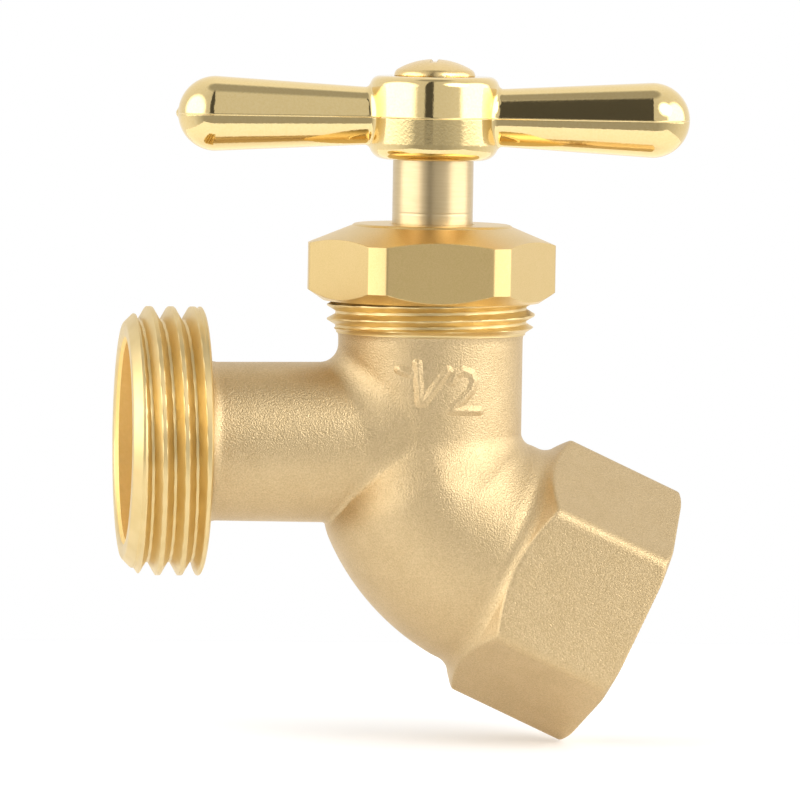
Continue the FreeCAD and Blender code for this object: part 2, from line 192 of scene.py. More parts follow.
def crossed_cells(inside):
    """The grid cells with some corners inside the surface and some outside, and a number for each."""
    shape = np.array(inside.shape) - 1
    shifted = [inside[i:i + shape[0], j:j + shape[1], k:k + shape[2]] for i, j, k in cell_corners]
    full = sum(corner.astype(np.int8) for corner in shifted)
    cells = np.argwhere((full > 0) & (full < len(cell_corners)))
    number = np.full(shape, -1)
    number[tuple(cells.T)] = np.arange(len(cells))
    return cells, number


def cell_points(field, grid, cells, low, step):
    """The point of each cell, by least squares on the planes at its crossed edges.

    planes sums each plane's facing times itself, and pull sums the facing times how far along it the plane
    lies. A loose tie to the middle of the crossings settles what the planes leave open.
    """
    total = np.zeros((len(cells), 3))
    count = np.zeros((len(cells), 1))
    planes = np.zeros((len(cells), 3, 3))
    pull = np.zeros((len(cells), 3))
    for start, axis in cell_edges:
        end = np.array(start)
        end[axis] = 1
        at_start = grid[tuple((cells + start).T)]
        at_end = grid[tuple((cells + end).T)]
        crossed = np.flatnonzero((at_start < 0) != (at_end < 0))
        spot = cells[crossed] + np.array(start, float)
        spot[:, axis] += at_start[crossed] / (at_start - at_end)[crossed]
        spot = low + step * spot
        value, slope = field_slope(field, spot)
        steep = np.maximum(np.linalg.norm(slope, axis=1), least_slope)
        facing = slope / steep[:, None]
        total[crossed] += spot
        count[crossed] += 1
        planes[crossed] += facing[:, :, None] * facing[:, None, :]
        pull[crossed] += facing * ((facing * spot).sum(1) - value / steep)[:, None]
    middle = total / count
    points = np.linalg.solve(planes + loose * np.eye(3), (pull + loose * middle)[:, :, None])[:, :, 0]
    return middle + np.clip(points - middle, -point_reach * step, point_reach * step)


def crossed_faces(inside, number):
    """A face about each grid edge that the surface crosses, through the points of the four cells round it."""
    shape = np.array(inside.shape) - 1
    faces = []
    for axis in range(3):
        u, v = (axis + 1) % 3, (axis + 2) % 3
        here = inside[tuple(slice(0, -1) if side == axis else slice(None) for side in range(3))]
        ahead = inside[tuple(slice(1, None) if side == axis else slice(None) for side in range(3))]
        edges = np.argwhere(here != ahead)
        edges = edges[np.all(edges > 0, 1) & np.all(edges < shape, 1)]
        ring = []
        for du, dv in ((-1, -1), (0, -1), (0, 0), (-1, 0)):
            cell = edges.copy()
            cell[:, u] += du
            cell[:, v] += dv
            ring.append(number[tuple(cell.T)])
        ring = np.stack(ring, -1)
        faces.append(np.where(here[tuple(edges.T)][:, None], ring, ring[:, ::-1]))
    return np.concatenate(faces)


def settle(field, points, step):
    """Moves the points onto the surface in four Newton steps, and returns them with the normals there."""
    for _ in range(4):
        value, slope = field_slope(field, points)
        move = -value[:, None] * slope / np.maximum((slope ** 2).sum(1), least_square)[:, None]
        points = points + np.clip(move, -newton_reach * step, newton_reach * step)
    slope = field_slope(field, points)[1]
    return points, slope / np.maximum(np.linalg.norm(slope, axis=1), 1e-6)[:, None]


def corner_normals(points, faces, normals, crease=35):
    """The normal at each corner of a face: its point's, or the face's where the two are a crease apart."""
    a, b, c, d = points[faces].transpose(1, 0, 2)
    flat = np.cross(c - a, d - b)
    flat = (flat / np.maximum(np.linalg.norm(flat, axis=1), 1e-9)[:, None])[:, None, :]
    own = normals[faces]
    hard = (own * flat).sum(2, keepdims=True) < math.cos(math.radians(crease))
    return np.where(hard, flat, own).reshape(-1, 3)


def skin(name, field, low, high, step):
    """The closed surface where field(x, y, z) is zero, on a grid of cells that are step wide."""
    axes = [np.arange(a, b + step, step) for a, b in zip(low, high)]
    grid = field(axes[0][:, None, None], axes[1][None, :, None], axes[2][None, None, :])
    cells, number = crossed_cells(grid < 0)
    points = cell_points(field, grid, cells, np.array(low, float), step)
    points, normals = settle(field, points, step)
    faces = crossed_faces(grid < 0, number)
    return add_mesh(name, points, faces, corner_normals(points, faces, normals))


# %% [markdown]
# ## The casting
# On the real tap the casting is poured in one piece, so here each part of it is a field, and fillets join
# them. The sizes are the real tap's, in millimetres. First comes the inlet's hexagon, which a wrench holds:
# two cones turn its corners off at both ends.

# %% The inlet's hexagon
hex_corner_r = 14.1
hex_flat = hex_corner_r * math.cos(math.pi / 6)
hex_length = 12.58
hex_edge = 0.2
mouth_r = 13.1
# each cone: its slope, and about 1 / hypot(1, slope), which turns the field into a distance
front_slope, front_scale = 1.8, 0.485
rear_slope, rear_scale = 1.364, 0.591


def inlet_place(x, y, z):
    """A point's distance back from the inlet's mouth, and its two offsets from the inlet's axis."""
    dx, dz = x - inlet_mouth[0], z - inlet_mouth[2]
    back = -(dx * inlet_dir[0] + dz * inlet_dir[2])
    return back, y + 0 * back, dx * inlet_up[0] + dz * inlet_up[2]


def socket_field(x, y, z):
    """Three pairs of flats shared with a cylinder, then with the cones at both ends and the mouth's plane."""
    back, side, up = inlet_place(x, y, z)
    r = np.hypot(side, up)
    flats = np.maximum(np.abs(side), np.abs(up) * math.cos(math.pi / 6) + np.abs(side) / 2)
    flats = cut(flats - hex_flat, r - hex_corner_r + hex_edge, hex_edge)
    front = (r - mouth_r - back * front_slope) * front_scale
    rear = (r - hex_corner_r + (back - hex_length) * rear_slope) * rear_scale
    return cut(cut(flats, np.maximum(front, rear), hex_edge), -back, hex_edge)


print("hexagon over flats", round(2 * hex_flat, 2))

# %% [markdown]
# The neck, the belly and the inlet pipe are one bent tube. Its middle runs straight down the neck, turns
# about a pivot line beside the neck, and runs straight again to the inlet. The tube swells round the bend,
# and inside the bend the swell ends in a faint fold, as the real casting has.

# %% The neck, belly and inlet pipe
neck_r = 9.275
neck_end_z = 15.2
neck_flare = 0.27
neck_flare_z = 10.5
neck_flare_height = 0.9
pivot_z = 1.0
inner_r = 1.725
inlet_inner_r = 1.29
belly_swell = 1.45
belly_growth = 0.95
swell_share = 0.42
swell_stretch = 0.2
fold_step = 0.22
fold_share = 0.36
fold_lag = 0.025
fold_width = 0.2
fold_reach = (7.5, 12)
elbow_turn = math.pi / 2 - math.acos(inlet_dir[0])
pivot_x = neck_r + inner_r
inlet_reach = (inlet_mouth[0] - pivot_x) * inlet_dir[0] + (inlet_mouth[2] - pivot_z) * inlet_dir[2]


def trunk_field(x, y, z):
    """The distance to the bent tube's middle, less a radius that grows with the share of the bend."""
    dx, dz = x - pivot_x, z - pivot_z
    past = dx * inlet_dir[0] + dz * inlet_dir[2]
    below = -(dx * inlet_up[0] + dz * inlet_up[2])
    share = np.clip(np.arctan2(-dz, -dx) / elbow_turn, 0, 1)
    share = np.where(dz > 0, 0, np.where(past > 0, 1, share))
    reach = np.hypot(dx, dz)
    inner = 1 - ease(reach, *fold_reach)
    swell = ease(share, 0, swell_share + swell_stretch * inner)
    fold = np.clip((share - fold_share - fold_lag * reach) / fold_width + 1, 0, 1) ** 2
    radius = neck_r + belly_swell * swell + fold_step * inner * (fold - swell) + belly_growth * share ** 1.5
    flare = neck_flare * np.clip((z - neck_flare_z) / neck_flare_height, 0, 1) ** 2
    out = np.where(dz > 0, -dx, np.where(past > 0, below, reach))
    middle = inner_r + (inlet_inner_r - inner_r) * share + radius
    bent = np.hypot(out - middle, y) - radius - flare
    return np.maximum(bent, np.maximum(z - neck_end_z, past - inlet_reach + hex_length))


print("bend", round(math.degrees(elbow_turn), 1), "degrees about x", round(pivot_x, 2))

# %% [markdown]
# The outlet tube widens a little towards the spindle, and a fillet runs it into the flat web that carries the
# hose thread.

# %% The outlet tube
collar_length = 7.9
web_t = 1.5
web_r = 12.0
web_spare = 0.02
web_fillet = 1.5
tube_r = 7.95
tube_root_r = 8.15
tube_lap = 0.05
collar_back_x = outlet_x + collar_length


def tube_field(x, y, z):
    """A cylinder whose radius grows along it, joined to a flat disc."""
    r = np.hypot(y, z)
    share = (x - collar_back_x) / -collar_back_x
    length = np.maximum(collar_back_x - tube_lap - x, x)
    tube = np.maximum(r - tube_r - (tube_root_r - tube_r) * share, length)
    web = np.maximum(r - web_r, np.abs(x - collar_back_x + web_t / 2) - web_t / 2 - web_spare)
    return join(tube, web, web_fillet)


print("tube from x", round(collar_back_x, 2))

# %% [markdown]
# The water's way is a set of plain bores: the outlet passage, the upper chamber with the raised rim of the
# seat, the hole through the seat, the lower chamber, which is round at its end, and the socket.

# %% The waterway
passage_r = 4.9
chamber_r = 7.7
chamber_top_z = 5.2
neck_bore_r = 7.55
neck_bore_z = 5.0
seat_z = -4.8
seat_rim_h = 0.8
seat_rim_r = 5.9
seat_hole_r = 4.75
hole_z, hole_half = -6.8, 2.1
wall_z = -7.8
lower_r = 8.3
lower_back = 12
lower_centre = hex_length + 6.4
socket_r = 10.7
socket_back = 12.3


def hollow_field(x, y, z):
    """The union of the bores: each is a distance to an axis less a radius, between two ends."""
    across, level = np.hypot(x, y), z + 0 * x
    passage = np.maximum(np.hypot(y, z) - passage_r, x)
    chamber = np.maximum(across - chamber_r, np.maximum(seat_z - seat_rim_h - level, level - chamber_top_z))
    rim = np.maximum(np.maximum(across - seat_rim_r, level - seat_z), seat_hole_r - across)
    chamber = np.maximum(chamber, -rim)
    bore = np.maximum(across - neck_bore_r, neck_bore_z - level)
    hole = np.maximum(across - seat_hole_r, np.abs(level - hole_z) - hole_half)
    back, side, up = inlet_place(x, y, z)
    r = np.hypot(side, up)
    lower = np.hypot(r, np.maximum(back - lower_centre, 0)) - lower_r
    lower = np.maximum(lower, np.maximum(lower_back - back, level - wall_z))
    result = np.maximum(r - socket_r, back - socket_back)
    for space in (passage, chamber, bore, hole, lower):
        result = np.minimum(result, space)
    return result


print("seat hole", 2 * seat_hole_r, "passage", 2 * passage_r)

# %% [markdown]
# The tube meets the belly at a crisp corner below and at a wide fillet above. The casting is drawn in two
# pieces that meet on the belly just behind the hexagon, because the hexagon's edges want a finer net than the
# round forms do. Past the seam each piece sinks gently under the other, so that no edge shows.

# %% The casting's skin
cast_edge = 0.1
socket_fillet = 0.8
least_fillet = 0.02
under_fillet = 0.35
fillet_growth = 1.45
fillet_levels = (-6, 3)
fillet_end_x = (-6, 1)
seam_back = hex_length + 3.2
seam_slope = 0.02
seam_lap = 0.5
seam_drop = 3
seam_end = 1.2
belly_step = 0.34
socket_step = 0.23


def cast_field(x, y, z):
    """The whole casting without its threads: the joined outside less the waterway."""
    trunk = join(trunk_field(x, y, z), socket_field(x, y, z), socket_fillet)
    fillet = under_fillet + fillet_growth * ease(z, *fillet_levels)
    fillet = least_fillet + fillet * (1 - ease(x, *fillet_end_x))
    return cut(join(trunk, tube_field(x, y, z), fillet), -hollow_field(x, y, z), cast_edge)


def sink_past(field, past):
    """A field that sinks a hair past the seam, then steeply beyond the lap, and ends at the seam's end."""
    sink = seam_slope * np.maximum(past, 0) + seam_drop * np.maximum(past - seam_lap, 0) ** 2
    return np.maximum(field + sink, past - seam_end)


def hexagon_side(x, y, z):
    """The casting on the hexagon's side of the seam."""
    return sink_past(cast_field(x, y, z), inlet_place(x, y, z)[0] - seam_back)


def belly_side(x, y, z):
    """The casting on the belly's side of the seam."""
    return sink_past(cast_field(x, y, z), seam_back - inlet_place(x, y, z)[0])


cast_body = skin("cast_body", belly_side, (-25.5, -12.7, -25.5), (14.5, 12.7, 16.2), belly_step)
cast_socket = skin("cast_socket", hexagon_side, (-2.2, -12.9, -31.2), (27.0, 12.9, 2.9), socket_step)

# %% [markdown]
# ## The raised size mark
# The foundry's pattern leaves a plain fraction on the neck, which gives the pipe size. Each stroke is a soft
# ridge: the distance to a line on the neck's front sets how far it stands proud of the neck.

# %% The size mark
mark_strokes = [
    [(-4.1, 7.8), (-3.1, 7.45)],
    [(-2.4, 8.5), (-2.1, 4.6)],
    [(0.65, 7.85), (-1.75, 4.6)],
    [
        (1.1, 6.75), (1.4, 7.4), (2.2, 7.8), (3.1, 7.5), (3.4, 6.75),
        (3.1, 5.85), (2.1, 4.75), (1.0, 3.85), (4.0, 3.8),
    ],
]
mark_half_width = 0.5
mark_height = 0.22
mark_top_r = 0.04
mark_foot = 0.45
mark_dip = 0.15
mark_margin = 1.2
mark_t = 0.5


def stroke_distance(x, y, z):
    """How far a point is from the nearest stroke, seen from the front."""
    nearest = np.full(np.broadcast(x, y, z).shape, 9.0)
    for stroke in mark_strokes:
        for (ax, az), (bx, bz) in zip(stroke, stroke[1:]):
            length2 = (bx - ax) ** 2 + (bz - az) ** 2
            share = np.clip(((x - ax) * (bx - ax) + (z - az) * (bz - az)) / length2, 0, 1)
            nearest = np.minimum(nearest, np.hypot(x - ax - share * (bx - ax), z - az - share * (bz - az)))
    return nearest


def mark_field(x, y, z):
    """A shell round the neck that rises to a ridge on the strokes, and dips into the neck beside them."""
    nearest = stroke_distance(x, y, z)
    slope = 1 - (np.hypot(nearest, mark_top_r) - mark_top_r) / mark_half_width
    ridge = mark_height * np.maximum(slope, 0) - mark_dip * np.maximum(nearest - mark_foot, 0)
    r = np.hypot(x, y)
    return np.maximum(np.maximum(r - neck_r - ridge, nearest - mark_margin), neck_r - mark_t - r)


size_mark = skin("size_mark", mark_field, (-6.0, -10.0, 1.8), (5.6, -6.8, 10.1), step=0.13)

# %% [markdown]
# ## Threads
# A thread is a radius that depends on the angle and the height: the height is compared with the crest's
# height at that angle, which climbs one pitch a turn. Near its ends the groove fades, where the tool ran in
# and out of the cut.

# %% A thread's groove
INCH = 25.4
hair = 0.01


def groove(turn, height, pitch, start, land, depth):
    """The groove's depth: nothing on the crest's land, then flanks of 30 degrees down to the root."""
    crest = start + pitch * turn / (2 * np.pi)
    off = np.abs((height - crest + pitch / 2) % pitch - pitch / 2)
    return np.clip((off - land / 2) * math.sqrt(3), 0, depth)


def fade(height, run_in, run_out):
    """1 along a thread, and easing from and to 0 where the tool ran in and out."""
    return ease(height, *run_in) * (1 - ease(height, *run_out))


# %% [markdown]
# The hose thread starts with a turned-down lead at the outlet's mouth and ends at a plain collar. The wide
# bore inside it is a surface of its own, because it is machined while the tube behind it is left blasted.

# %% The hose thread
hose_r = mounts["hose_outlet"]["dims"]["r_mm"]
hose_pitch = INCH / 11.5
hose_land = 0.42
hose_depth = 1.3
hose_crest = 2.5 - hose_pitch / 4
hose_run_in, hose_run_out = (0.7, 1.2), (7.1, 7.6)
lip_r = 11.85
lead_r = 12.75
lead_in = (1.1, 1.9)
cap_spare = 0.05
collar_edge = (7.65, 8.0)
collar_drop = 0.5
mouth_bore_r = 10.4
inner_bore_r = 10.1


def along_outlet(x, y, height):
    """Lays a turned piece along the outlet, from its mouth inwards."""
    return outlet_x + height, x, y


def hose_radius(turn, height, r):
    """The crest's radius, less the groove, under a lead-in that is turned down at the mouth."""
    depth = groove(turn, height, hose_pitch, hose_crest, hose_land, hose_depth)
    depth = depth * fade(height, hose_run_in, hose_run_out)
    cap = np.minimum(lip_r + height, lead_r) + (hose_r - lead_r + cap_spare) * ease(height, *lead_in)
    cap = cap - collar_drop * ease(height, *collar_edge)
    return np.where(r > hose_r - hair, np.minimum(hose_r - depth, cap), r + 0 * turn)


web_front = collar_length - web_t + 0.05
hose_mouth = [
    (mouth_bore_r, web_front), (mouth_bore_r, 0.18), (10.55, 0.04), (10.7, 0), (11.7, 0), (lip_r, 0.03),
]
hose_outline = np.concatenate([
    runs(hose_mouth, 0.3),
    runs([(hose_r, 0.08), (hose_r, collar_length)], 0.07),
    runs([(12.6, collar_length), (11.6, collar_length - 0.03)], 0.5),
])
hose_thread = turned("hose_thread", hose_outline, 256, along_outlet, hose_radius)
bore_corners = [
    (10.6, 0.3), (10.6, web_front), (inner_bore_r, web_front), (inner_bore_r, 0.5), (mouth_bore_r, 0.19),
]
outlet_bore = turned("outlet_bore", runs(bore_corners, 0.4), 128, along_outlet)

# %% The neck thread
neck_pitch = 1.411
neck_land = 0.16
neck_depth = 0.84
neck_crest_z = 12.74 + neck_pitch / 4
neck_run_out = (11.2, 11.5)
neck_thread_r = 10.45
neck_root_r = 9.5
neck_rise = (11.15, 12.0)
neck_fall = (18.2, 18.6)
neck_thread_z = 11.0
neck_top_z = 19.3


def upright(x, y, height):
    """Stands a turned piece on the spindle's axis."""
    return x, y, height


def neck_radius(turn, height, r):
    """The crest's radius, less the groove, which runs out into the neck at its lower end."""
    depth = groove(turn, height, neck_pitch, neck_crest_z, neck_land, neck_depth)
    depth = depth * ease(height, *neck_run_out)
    cap = neck_root_r + (neck_thread_r - neck_root_r) * ease(height, *neck_rise)
    cap = cap - neck_depth * ease(height, *neck_fall)
    return np.where(r > neck_thread_r - hair, np.minimum(neck_thread_r - depth, cap), r + 0 * turn)


neck_outline = np.concatenate([
    runs([(8.0, neck_top_z), (8.0, neck_thread_z), (9.4, neck_thread_z)], 0.5),
    runs([(neck_thread_r, neck_thread_z + 0.05), (neck_thread_r, neck_top_z)], 0.07),
])
neck_thread = turned("neck_thread", neck_outline, 224, upright, neck_radius)

# %% The socket's thread
pipe_crest_r = mounts["inlet"]["dims"]["r_mm"]
pipe_pitch = INCH / 14
pipe_land = 0.25
pipe_depth = 1.15
pipe_crest = 0.4
pipe_wall_r = 10.5
pipe_thread_length = 12.5
sink_depth = 0.5
sink_slope = 2.4


def along_inlet(x, y, height):
    """Lays a turned piece along the inlet, from its mouth inwards."""
    base = inlet_mouth[:, None, None] - inlet_dir[:, None, None] * height
    return base + inlet_up[:, None, None] * x + np.array([0, 1, 0])[:, None, None] * y


def pipe_radius(turn, height, r):
    """The crest's radius plus the groove, opened out by the countersink at the mouth."""
    deep = pipe_depth - groove(-turn, height, pipe_pitch, pipe_crest, pipe_land, pipe_depth)
    wall = pipe_crest_r + np.maximum(deep, (sink_depth - height) * sink_slope)
    return np.where(r < pipe_crest_r + hair, np.minimum(wall, pipe_wall_r), r + 0 * turn)


pipe_outline = np.concatenate([
    runs([(11.0, pipe_thread_length), (11.0, 0.2), (10.75, 0.01), (10.52, 0.01)], 0.5),
    runs([(pipe_crest_r, 0.03), (pipe_crest_r, pipe_thread_length)], 0.08),
])
pipe_thread = turned("pipe_thread", pipe_outline, 192, along_inlet, pipe_radius)

# %% [markdown]
# ## The packing nut
# A hexagon bar turned on a lathe is the smaller of two radii at each angle and height: the turned outline's,
# and the distance to the flat. Taking a softened minimum gives both the curved chamfers and the slightly
# broken edges.

# %% The nut
nut_flat = 22.5 / 2
nut_turn = math.radians(-2.6)
nut_corner_r = 12.45
nut_edge = 0.12
nut_bore_r = 10.65
nut_bore_z = 19.6
nut_foot_r = 10.9
hexagon_from_r = 10.8
face_r = 7.7
stem_hole_r = 4.13
nut_top_z = nut_face_z - 0.3
lower_chamfer_z = nut_z + 1.05
upper_chamfer_z = nut_top_z - 1.7


def nut_radius(turn, height, r):
    """The smaller of the turned radius and the distance to the nearest flat, blended over the edge."""
    flat = (nut_flat + 0 * r) / np.cos((turn - nut_turn) % (np.pi / 3) - np.pi / 6)
    outer = -cut(-r + 0 * turn, -flat, nut_edge)
    return np.where(r > hexagon_from_r, outer, r + 0 * turn)


face_foot = [
    (8.1, nut_top_z + 0.05), (8.0, nut_top_z + 0.16), (7.88, nut_top_z + 0.25), (face_r, nut_top_z + 0.3),
]
nut_outline = np.concatenate([
    runs([(nut_bore_r, nut_z), (nut_foot_r, nut_z)], 0.1),
    runs([(nut_foot_r, nut_z), (nut_corner_r, lower_chamfer_z)], 0.08),
    runs([(nut_corner_r, lower_chamfer_z), (nut_corner_r, upper_chamfer_z)], 0.12),
    runs([(nut_corner_r, upper_chamfer_z), (8.25, nut_top_z + 0.02)], 0.09),
    runs(face_foot, 0.1),
    runs([(face_r, nut_face_z), (stem_hole_r + 0.2, nut_face_z), (stem_hole_r, nut_face_z - 0.2)], 0.4),
    runs([(stem_hole_r, nut_face_z - 0.2), (stem_hole_r, nut_bore_z), (nut_bore_r, nut_bore_z)], 0.6),
])
hex_nut = turned("hex_nut", nut_outline, 600, upright, nut_radius, sharp=30)

# %% [markdown]
# ## The spindle
# The spindle is one turned bar: the cup for the washer, the operating thread, the stem that shows above the
# nut with a hairline ring in it, and a square end inside the handle, cut the same way as the nut's flats.

# %% The spindle
handle_turn = math.radians(-7.2)
stem_r = 4.05
stem_thread_r = 7.4
stem_pitch = 2.1
stem_land = 0.55
stem_depth = 0.8
stem_crest_z = 0.2
stem_run_in, stem_run_out = (3.7, 4.1), (9.2, 9.6)
square_half = 2.8
square_from_r = 2.5
uncut = 99
socket_z = hub_z + 1.5
ring_z = nut_face_z + 1.1
ring_deep = 0.02


def spindle_radius(turn, height, r):
    """The turned radius, less the operating thread's groove, and flattened to a square at the top."""
    depth = groove(turn, height, stem_pitch, stem_crest_z, stem_land, stem_depth)
    depth = depth * fade(height, stem_run_in, stem_run_out)
    off = (turn - handle_turn + np.pi / 4) % (np.pi / 2) - np.pi / 4
    square = np.where(height > socket_z, square_half / np.cos(off), uncut)
    threaded = np.where(r > stem_thread_r - hair, r - depth, r + 0 * turn)
    return np.minimum(threaded, np.where(r > square_from_r, square, uncut))


cup = [(0, 3.05), (1.65, 3.05), (1.65, -1.75), (6.05, -1.75), (6.05, cup_z), (6.3, cup_z), (6.3, -0.84)]
stem_above_ring = [(stem_r, z) for z in (ring_z + 0.1, ring_z + 0.2, socket_z, socket_z + 0.01)]
spindle_outline = np.concatenate([
    runs(cup, 0.7),
    runs([(6.3, -0.84), (4.5, 0.2), (4.5, 3.6), (7.1, 3.6)], 0.7),
    runs([(stem_thread_r, 3.9), (stem_thread_r, 9.4)], 0.1),
    runs([(7.1, 9.7), (stem_r, 9.7), (stem_r, nut_face_z)], 0.9),
    runs([(stem_r, ring_z - 0.2), (stem_r, ring_z - 0.1), (stem_r - ring_deep, ring_z)], 0.9),
    runs(stem_above_ring, 0.9),
    runs([(stem_r, square_top_z), (2.0, square_top_z), (2.0, 29.85), (0, 29.85)], 0.9),
])
turned_spindle = turned("turned_spindle", spindle_outline, 128, upright, spindle_radius, closed=False)

# %% [markdown]
# ## The tee handle
# The handle is a hub with two arms that swell towards round ends. It is pressed in two dies and polished, so
# the arms run into the hub over a small fillet, a hairline of the dies' joint goes round at mid height, and a
# small nib is left on the tip of one arm.

# %% The handle
hub_r = 6.6
hub_top_r = 6.45
hub_low_edge = 1.5
hub_top_edge = 1.0
arm_z = hub_z + 4.3
arm_reach = 25.7
arm_root_r = 2.9
arm_end_r = 3.775
arm_fillet = 0.45
nib_r = 0.3
nib_proud = 0.12
nib_fillet = 0.35
fit_gap = 0.05
socket_edge = 0.1


def hub_field(r, z):
    """A cylinder that narrows away from mid height, with its lower and upper edges rounded."""
    taper = (hub_r - hub_top_r) * np.abs(z - arm_z) / (hub_top_z - arm_z)
    hub = cut(r - hub_r + taper, hub_z - z, hub_low_edge)
    return cut(hub, z - hub_top_z, hub_top_edge)


def handle_field(x, y, z):
    """The hub joined to two arms, which are the distance to the arms' axis less a growing radius."""
    along = x * math.cos(handle_turn) + y * math.sin(handle_turn)
    across = y * math.cos(handle_turn) - x * math.sin(handle_turn)
    r = np.hypot(along, across)
    ball = arm_reach - arm_end_r
    share = np.clip((np.abs(along) - hub_r) / (ball - hub_r), 0, 1)
    radius = arm_root_r + (arm_end_r - arm_root_r) * share
    arm = np.sqrt(across ** 2 + (z - arm_z) ** 2 + np.maximum(np.abs(along) - ball, 0) ** 2) - radius
    nib = np.sqrt(across ** 2 + (z - arm_z) ** 2 + (along + arm_reach - nib_proud) ** 2) - nib_r
    outside = join(join(hub_field(r, z), arm, arm_fillet), nib, nib_fillet)
    stem = r - stem_r - fit_gap
    square = np.maximum(np.maximum(np.abs(along), np.abs(across)) - square_half - fit_gap, stem)
    return cut(outside, -np.minimum(square, np.maximum(stem, z - socket_z)), socket_edge)


handle_low, handle_high = (-26.4, -8.0, hub_z - 0.6), (26.4, 8.0, hub_top_z + 0.6)
polished_handle = skin("polished_handle", handle_field, handle_low, handle_high, step=0.27)

# %% [markdown]
# The screw that holds the handle has a low dome on a thin rim. The dome is a cap cut from a ball: its radius
# follows from how wide and how high the cap is.

# %% The screw on the hub
head_r = 4.075
head_edge = 0.35
foot_edge = 0.05
rim_h = 0.45
rod_r = 1.95
rod_lap = 0.3
slot_half = 0.32
slot_depth = 0.27
slot_edge = 0.08
slot_turn = math.radians(78.8)
dome_h = screw_top_z - hub_top_z - rim_h
dome_r = (head_r ** 2 + dome_h ** 2) / (2 * dome_h)


def screw_field(x, y, z):
    """A ball shared with a short cylinder makes the head, a rod hangs below, and a slot is cut across."""
    r = np.hypot(x, y)
    ball = np.sqrt(r ** 2 + (z - screw_top_z + dome_r) ** 2) - dome_r
    head = cut(cut(ball, r - head_r, head_edge), hub_top_z - z, foot_edge)
    rod = np.maximum(r - rod_r, np.maximum(screw_z - z, z - hub_top_z - rod_lap))
    across = np.abs(y * math.cos(slot_turn) - x * math.sin(slot_turn))
    slot = np.maximum(across - slot_half, screw_top_z - slot_depth - z)
    return cut(np.minimum(head, rod), -slot, slot_edge)


screw_low, screw_high = (-4.5, -4.5, screw_z - 0.4), (4.5, 4.5, screw_top_z + 0.4)
slotted_screw = skin("slotted_screw", screw_field, screw_low, screw_high, step=0.14)

# %% [markdown]
# ## What rides on what
# Every new piece moves with a CAD body and stands for the node whose place it takes. The rings, the washer
# and its screw are hidden inside the tap, so their CAD nodes stay and only get a finish.

# %% Bodies and nodes
casting = [cast_body, cast_socket, size_mark, hose_thread, outlet_bore, neck_thread, pipe_thread]
riders = {
    "valve_body": casting + [hex_nut],
    "spindle_group": [turned_spindle, polished_handle, slotted_screw],
}
for body, pieces in riders.items():
    for piece in pieces:
        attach(piece, body)
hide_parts("tap_body")
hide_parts("packing_nut")
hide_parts("spindle")
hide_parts("tee_handle")
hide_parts("handle_screw")
print("riders", {body: len(pieces) for body, pieces in riders.items()})

# %% [markdown]
# ## Helpers for shader nodes
# A material and the world are both trees of small nodes. These helpers add a node, set its sockets and link
# it in one line, so that a tree reads like a formula.

# %% Shader node helpers


def feed(tree, socket, source):
    """Sets a socket to a value, or links it to another node's output."""
    if isinstance(source, bpy.types.NodeSocket):
        tree.links.new(source, socket)
    else:
        socket.default_value = source


def add(tree, kind, inputs, **settings):
    """A new node with its settings, and its inputs by name or number."""
    node = tree.nodes.new(kind)
    for name, setting in settings.items():
        setattr(node, name, setting)
    for name, source in inputs.items():
        feed(tree, node.inputs[name], source)
    return node


def calc(tree, operation, *sources):
    """The result of a Math node."""
    return add(tree, "ShaderNodeMath", dict(enumerate(sources)), operation=operation).outputs[0]


def ramp(tree, source, low, high, start=0, end=1, kind="SMOOTHSTEP"):
    """Goes from start to end while its source goes from low to high."""
    inputs = {"Value": source, "From Min": low, "From Max": high, "To Min": start, "To Max": end}
    return add(tree, "ShaderNodeMapRange", inputs, interpolation_type=kind).outputs[0]


def mix(tree, share, a, b):
    """Goes from a to b while the share goes from 0 to 1."""
    return add(tree, "ShaderNodeMix", {"Factor": share, "A": a, "B": b}).outputs["Result"]


# %% [markdown]
# ## Finishes
# All of it is brass, so one recipe serves: a metal with a colour, a roughness and a small relief. What
# differs is the relief's pattern. Blasting leaves round pits, a lathe leaves fine rings, a brush leaves fine
# marks, and polishing leaves only faint waves. One node group makes them all from stretched noise.

# %% The tool-mark group
PER_MM = 1000
cloud_scale = 0.35
cloud_detail = 3


def tool_marks():
    """Noise on the object's own coordinates, stretched to a size in millimetres along each axis."""
    group = bpy.data.node_groups.new("tool_marks", "ShaderNodeTree")
    size = group.interface.new_socket("Marks per mm", in_out="INPUT", socket_type="NodeSocketVector")
    size.default_value = (4, 4, 4)
    detail = group.interface.new_socket("Detail", in_out="INPUT", socket_type="NodeSocketFloat")
    detail.default_value = 2
    group.interface.new_socket("Height", in_out="OUTPUT", socket_type="NodeSocketFloat")
    group.interface.new_socket("Cloud", in_out="OUTPUT", socket_type="NodeSocketFloat")
    source = group.nodes.new("NodeGroupInput")
    place = group.nodes.new("ShaderNodeTexCoord").outputs["Object"]
    in_mm = add(group, "ShaderNodeVectorMath", {0: place, "Scale": PER_MM}, operation="SCALE").outputs[0]
    wanted = {0: in_mm, 1: source.outputs["Marks per mm"]}
    stretched = add(group, "ShaderNodeVectorMath", wanted, operation="MULTIPLY").outputs[0]
    pattern = {"Vector": stretched, "Scale": 1, "Detail": source.outputs["Detail"]}
    marks = add(group, "ShaderNodeTexNoise", pattern)
    broad = {"Vector": in_mm, "Scale": cloud_scale, "Detail": cloud_detail}
    cloud = add(group, "ShaderNodeTexNoise", broad)
    add(group, "NodeGroupOutput", {"Height": marks.outputs[0], "Cloud": cloud.outputs[0]})
    return group


marks_group = tool_marks()
print("group", marks_group.name)

# %% [markdown]
# The recipe for a finish mixes two close colours by the marks, with a little of a broader cloud, and lets the
# cloud vary the roughness. The relief is the marks' height in millimetres, as a bump.

